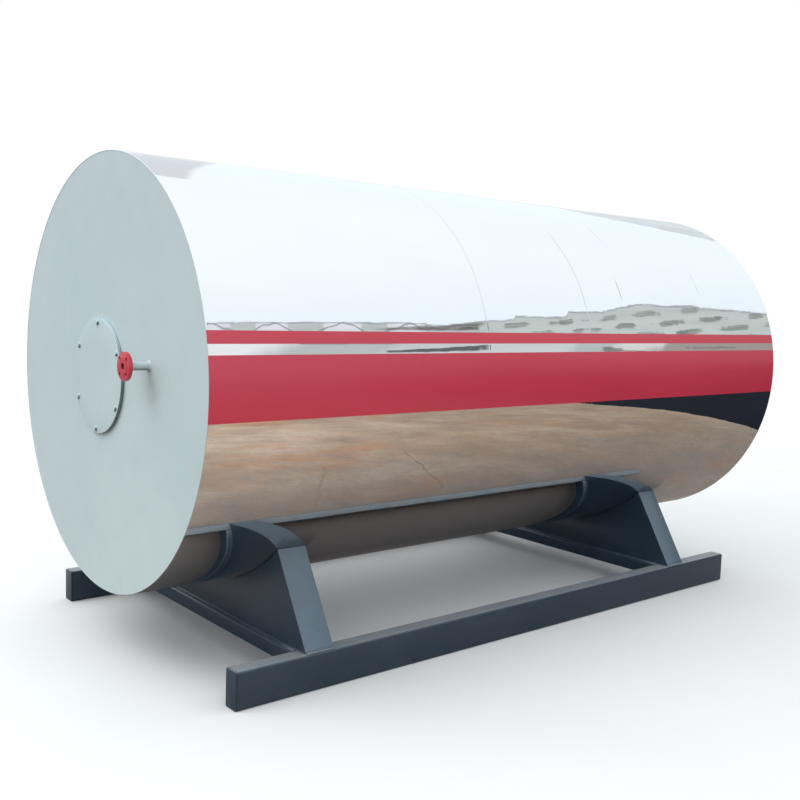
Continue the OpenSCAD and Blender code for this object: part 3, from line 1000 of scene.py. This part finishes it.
# A dark flag behind the far end, as photographers stand beside polished metal
flag_mat = Mat("flag")
flag_mat.color(flag_mat.mix(flag_mat.noise(3.0, 3), (0.007, 0.012, 0.024), (0.012, 0.019, 0.036)))
flag_mat.put(Roughness=0.8)
me = bpy.data.meshes.new("flag")
me.from_pydata([(0.9, 3.75, 0.0), (7.5, 3.75, 0.0), (7.5, 3.75, 1.35), (0.9, 3.75, 1.35)], [], [(0, 1, 2, 3)])
me.materials.append(flag_mat.m)
flag = bpy.data.objects.new("flag", me)
bpy.context.scene.collection.objects.link(flag)
flag.visible_camera = False
flag.visible_diffuse = False
flag.visible_shadow = False

world = bpy.data.worlds.new("soft_sky")
bpy.context.scene.world = world
world.use_nodes = True
W = Mat.__new__(Mat)
W.t = world.node_tree
W.t.nodes.clear()
W.tc = W.t.nodes.new("ShaderNodeTexCoord")
wo = W.t.nodes.new("ShaderNodeOutputWorld")
sep = W.t.nodes.new("ShaderNodeSeparateXYZ")
W.link(W.tc.outputs["Generated"], sep.inputs[0])
dx, dy, dz = sep.outputs
turn = W.math("ARCTAN2", dy, dx)            # 0 along +X, a quarter turn along +Y
flat = W.t.nodes.new("ShaderNodeCombineXYZ")
W.link(dx, flat.inputs[0])
W.link(dy, flat.inputs[1])
W.link(W.math("MULTIPLY", dz, 2.4), flat.inputs[2])
ringv = W.t.nodes.new("ShaderNodeCombineXYZ")
W.link(dx, ringv.inputs[0])
W.link(dy, ringv.inputs[1])
sky = W.ramp(dz, [(0.0, (0.93, 1.02, 1.08)), (0.35, (1.04, 1.13, 1.19)), (0.8, (1.16, 1.215, 1.235)), (1.0, (1.2, 1.24, 1.25))])
# Soft screens all round. At each turn from +X: sine of their height, how solid, how dark
SCREENS = [(-180, 0.24, 0.45, 0.3), (-120, 0.17, 0.6, 0.5), (-50, 0.17, 0.6, 0.5), (0, 0.36, 0.45, 0.5), (26, 0.43, 0.10, 0.6),
           (32, 0.432, 0.12, 0.7), (37.7, 0.419, 0.40, 0.8), (42, 0.405, 0.85, 0.95), (49.3, 0.399, 0.97, 0.85),
           (50.3, 0.397, 0.97, 0.15), (54.8, 0.391, 0.97, 0.1), (58.8, 0.416, 0.97, 0.1), (63.3, 0.429, 0.97, 0.15),
           (67.4, 0.37, 0.97, 0.15), (78, 0.33, 0.9, 0.2), (98, 0.44, 0.5, 0.0), (108, 0.46, 0.55, 0.0), (117, 0.425, 0.55, 0.0),
           (122.5, 0.385, 0.52, 0.0), (127, 0.31, 0.48, 0.0), (131, 0.20, 0.3, 0.0), (180, 0.24, 0.45, 0.3)]
round_ = W.math("DIVIDE", W.math("ADD", turn, math.pi), 2 * math.pi)
plan = W.t.nodes.new("ShaderNodeValToRGB")
e = plan.color_ramp.elements
while len(e) > 1:
    e.remove(e[-1])
e[0].position, e[0].color = 0.0, (*SCREENS[0][1:], 1)
for t_, *rgb in SCREENS[1:]:
    e.new((t_ + 180) / 360).color = (*rgb, 1)
W.link(round_, plan.inputs[0])
split = W.t.nodes.new("ShaderNodeSeparateColor")
W.link(plan.outputs[0], split.inputs[0])
height = W.math("ADD", split.outputs[0], W.range(W.noise(9.0, 3, 0.6, at=ringv.outputs[0]), 0.3, 0.7, -0.010, 0.010))
tone = W.noise(7.0, 3, 0.65, at=flat.outputs[0], distort=0.4)
dark = W.math("MINIMUM", W.math("ADD", split.outputs[2], W.range(tone, 0.46, 0.66, 0.0, 0.5)), 1.0)
screen = W.mix(dark, (0.655, 0.700, 0.680), (0.30, 0.265, 0.250))
low_tone = W.range(dz, 0.15, 0.27, 0.85, 0.0, smooth=True)
screen = W.mix(low_tone, screen, (0.405, 0.335, 0.315))
inside = W.range(W.math("SUBTRACT", height, dz), -0.003, 0.003, 0, 1)
env = W.mix(W.math("MULTIPLY", inside, split.outputs[1]), sky, screen)


def poly(at, *c):
    out = c[-1]
    for q in c[-2::-1]:
        out = W.math("MULTIPLY_ADD", out, at, q)
    return out


# Stage dressing that only the polished sheet mirrors: slanting bars, a rough dark strip and a pale
# screen with panels. `along` grows from the front end to the rear, `down` from eye level
held = W.math("MINIMUM", W.math("MAXIMUM", dy, 0.465), 0.872)
along = poly(held, 350.773, -3551.559, 12092.051, -14062.731, 6320.678)
eye = poly(held, 0.24242, 1.5186, -3.87593, 4.16772, -1.87712)
down = W.math("DIVIDE", W.math("SUBTRACT", eye, dz), 0.0070)
step = W.range(along, 200, 800, 0, 1)
rough_ = W.noise(70.0, 2, 0.7, at=flat.outputs[0])
SCREEN_TOP = [(206, 1.0), (424, 1.0), (431, 3.5), (446, 3.0), (464, 1.5), (478, 0.2), (486, -0.8), (511, -0.9), (515, -5.0),
           (537, -4.6), (541, -3.4), (560, -4.2), (565, -9.0), (586, -9.0), (593, -8.3), (641, -14.4), (650, -14.6),
           (662, -13.0), (688, -13.6), (713, -10.3), (766, -7.0)]
top = W.ramp(step, [((a - 200) / 600, (h + 20) / 40) for a, h in SCREEN_TOP])
top = W.math("ADD", W.range(top, 0, 1, -20, 20, clamp=False), W.range(rough_, 0.3, 0.7, -0.7, 0.7))
screen2 = W.mix(W.range(tone, 0.40, 0.66, 0, 0.5), (0.68, 0.755, 0.720), (0.50, 0.535, 0.510))
# panels in slanting rows
line_ = W.math("DIVIDE", W.math("ADD", down, W.math("MULTIPLY", W.math("SUBTRACT", along, 519), 0.08)), 9.6)
line_ = W.math("ADD", line_, 0.125)
odd = W.math("MULTIPLY", W.math("FLOORED_MODULO", W.math("FLOOR", line_), 2), 0.5)
cell = W.math("ADD", W.math("DIVIDE", W.math("SUBTRACT", along, 519), 43), odd)
cx_ = W.math("MULTIPLY", W.math("ABSOLUTE", W.math("SUBTRACT", W.math("FRACT", W.math("ADD", cell, 0.5)), 0.5)), 43 / 13.5)
cy_ = W.math("MULTIPLY", W.math("ABSOLUTE", W.math("SUBTRACT", W.math("FRACT", line_), 0.5)), 9.6 / 2.7)
panel = W.math("MAXIMUM", cy_, W.math("ADD", cx_, W.math("MULTIPLY", cy_, 0.35)))
panel = W.math("ADD", panel, W.range(rough_, 0.3, 0.7, -0.25, 0.25))
panel = W.math("MULTIPLY", W.range(panel, 0.72, 1.05, 1.0, 0.0), W.range(along, 500, 510, 0, 1))
panel = W.math("MULTIPLY", panel, W.range(tone, 0.36, 0.56, 0.88, 0.50))
screen2 = W.mix(panel, screen2, W.mix(W.range(rough_, 0.4, 0.6, 0, 1), (0.145, 0.175, 0.155), (0.30, 0.345, 0.315)))
# bright openings between the slanting bars
bay = W.math("PINGPONG", W.math("ADD", along, 50.0), 32.7)
open_ = W.math("MULTIPLY", W.range(bay, 16.5, 18.5, 1, 0), W.range(along, 418, 426, 1, 0))
screen2 = W.mix(W.math("MULTIPLY", open_, W.range(down, 6.0, 7.5, 1.0, 0.8)), screen2, (0.93, 0.94, 1.0))
stay = W.math("ABSOLUTE", W.math("SUBTRACT", down, W.math("ADD", W.math("MULTIPLY", W.math("MAXIMUM", W.math("SUBTRACT", bay, 3.0), 0.0), 0.42), 1.3)))
stay = W.math("MULTIPLY", W.range(stay, 0.35, 1.0, 0.75, 0.0), W.math("MULTIPLY", W.range(bay, 18, 22, 1, 0.45), W.range(along, 418, 426, 1, 0)))
screen2 = W.mix(stay, screen2, (0.15, 0.155, 0.18))
# the rough dark strip, lower towards the rear
heap = W.math("SUBTRACT", down, W.math("ADD", W.range(along, 380, 484, 6.0, 0.6), W.range(rough_, 0.3, 0.7, -1.6, 1.6)))
heap = W.math("MULTIPLY", W.range(heap, -0.5, 0.5, 0, 1), W.range(down, 7.3, 8.2, 1, 0))
heap = W.math("MULTIPLY", heap, W.math("MULTIPLY", W.range(along, 370, 392, 0, 0.9), W.range(along, 484, 487, 1, 0)))
screen2 = W.mix(heap, screen2, W.mix(W.range(rough_, 0.35, 0.65, 0, 1), (0.36, 0.335, 0.315), (0.10, 0.09, 0.09)))
# lower down: soft pale tones, a long dark bar and a few short ones
slant = W.math("ADD", along, W.math("MULTIPLY", W.math("SUBTRACT", down, 27.0), 2.0))
PALE, LIGHT, MID, WARM = (1.02, 1.03, 1.05), (0.74, 0.79, 0.79), (0.60, 0.65, 0.64), (0.45, 0.395, 0.37)
lower = W.ramp(W.range(slant, 200, 800, 0, 1), [((a - 200) / 600, c) for a, c in (
    (200, PALE), (262, PALE), (304, MID), (380, MID), (398, LIGHT), (560, LIGHT), (578, MID), (603, MID),
    (622, (0.86, 0.86, 0.84)), (646, (0.82, 0.81, 0.79)), (660, WARM), (772, WARM))])
lower = W.mix(W.range(tone, 0.45, 0.68, 0, 0.30), lower, (0.36, 0.34, 0.33))
for a0, a1, v0, v1, w0, w1, much in ((384, 491, 30.6, 26.2, 0.7, 2.8, 0.92), (603, 626, 26.3, 27.6, 2.2, 1.0, 0.7),
                                     (606, 648, 28.9, 28.9, 0.5, 0.3, 0.8), (300, 392, 22.0, 21.8, 0.8, 0.5, 0.5),
                                     (690, 735, 24.5, 24.0, 0.8, 0.5, 0.5)):
    dist = W.math("ABSOLUTE", W.math("SUBTRACT", down, W.range(along, a0, a1, v0, v1)))
    dist = W.math("SUBTRACT", dist, W.math("ADD", W.range(along, a0, a1, w0, w1), W.range(rough_, 0.3, 0.7, -0.5, 0.5)))
    here = W.math("MULTIPLY", W.range(dist, -0.4, 0.6, much, 0.0),
                  W.math("MULTIPLY", W.range(along, a0 - 3, a0 + 3, 0, 1), W.range(along, a1 - 1, a1 + 2, 1, 0)))
    lower = W.mix(here, lower, (0.10, 0.11, 0.12))
band = W.mix(W.range(down, 12, 14, 0, 1), screen2, lower)
lip = W.range(W.math("ABSOLUTE", W.math("SUBTRACT", down, top)), 0.4, 1.0, 0.55, 0.0)
drawn = W.math("MULTIPLY", W.range(W.math("SUBTRACT", down, top), -0.5, 0.5, 0, 1), W.range(down, 35, 42, 1, 0))
seen = W.math("MULTIPLY", W.range(dx, 0.0, 0.1, 0, 1), W.math("MULTIPLY", W.range(dy, 0.445, 0.465, 0, 1), W.range(dy, 0.872, 0.89, 1, 0)))
clear = W.math("MULTIPLY", seen, W.range(dz, 0.22, 0.24, 0, 1))
env = W.mix(clear, env, sky)
env = W.mix(W.math("MULTIPLY", drawn, seen), env, band)
env = W.mix(W.math("MULTIPLY", lip, seen), env, (0.24, 0.25, 0.28))
# a soft grey patch high up behind, at the front end's side
edge_ = W.math("SUBTRACT", W.math("MULTIPLY_ADD", W.math("SUBTRACT", 0.735, dz), 0.051, 0.453), dy)
patch = W.math("MULTIPLY", W.range(edge_, -0.004, 0.004, 0, 1), W.math("MULTIPLY", W.range(dz, 0.738, 0.75, 1, 0), W.range(dz, 0.15, 0.30, 0, 1)))
patch = W.math("MULTIPLY", patch, W.math("MULTIPLY", W.range(dx, -0.25, -0.35, 0, 1), W.range(dy, 0.37, 0.42, 0, 1, smooth=True)))
env = W.mix(W.math("MULTIPLY", patch, 0.85), env, (0.80, 0.81, 0.84))
bg = W.t.nodes.new("ShaderNodeBackground")
W.link(env, bg.inputs[0])
bg.inputs[1].default_value = 1.0
plain = W.t.nodes.new("ShaderNodeBackground")
plain.inputs[0].default_value = (1, 1, 1, 1)
plain.inputs[1].default_value = 1.0
lp = W.t.nodes.new("ShaderNodeLightPath")
pick = W.t.nodes.new("ShaderNodeMixShader")
W.link(lp.outputs["Is Camera Ray"], pick.inputs[0])
W.link(bg.outputs[0], pick.inputs[1])
W.link(plain.outputs[0], pick.inputs[2])
W.link(pick.outputs[0], wo.inputs[0])

key = bpy.data.lights.new("key", "AREA")
key.shape = "DISK"
key.size = 4.5
key.energy = 170
key.color = (1.0, 0.99, 0.97)
ko = bpy.data.objects.new("key", key)
bpy.context.scene.collection.objects.link(ko)
ko.location = (-1.3, -6.1, 6.6)
ko.rotation_euler = (Vector((0.2, -1.6, 1.1)) - Vector(ko.location)).to_track_quat("-Z", "Y").to_euler()
ko.visible_glossy = False

# Camera at the photograph's viewing angle: its frame is 800 by 800
cam = bpy.data.cameras.new("cam")
co = bpy.data.objects.new("cam", cam)
bpy.context.scene.collection.objects.link(co)
cam.sensor_width = 36.0
cam.lens = 43.97
cam.clip_end = 500
yaw, pitch, roll = 0.878, -0.0995, 0.0335
fwd = Vector((-math.sin(yaw) * math.cos(pitch), math.cos(yaw) * math.cos(pitch), math.sin(pitch)))
r0 = Vector((math.cos(yaw), math.sin(yaw), 0))
u0 = r0.cross(fwd)
right = r0 * math.cos(roll) + u0 * math.sin(roll)
up_ = -r0 * math.sin(roll) + u0 * math.cos(roll)
mw = Matrix((right, up_, -fwd)).transposed().to_4x4()
mw.translation = Vector((4.0645, -1.6983 + FACE0, 1.6027))
co.matrix_world = mw
bpy.context.scene.camera = co

vs_ = bpy.context.scene.view_settings
vs_.view_transform = "Standard"
vs_.look = "None"
vs_.exposure = 0.0
vs_.gamma = 1.0

bpy.context.view_layer.update()
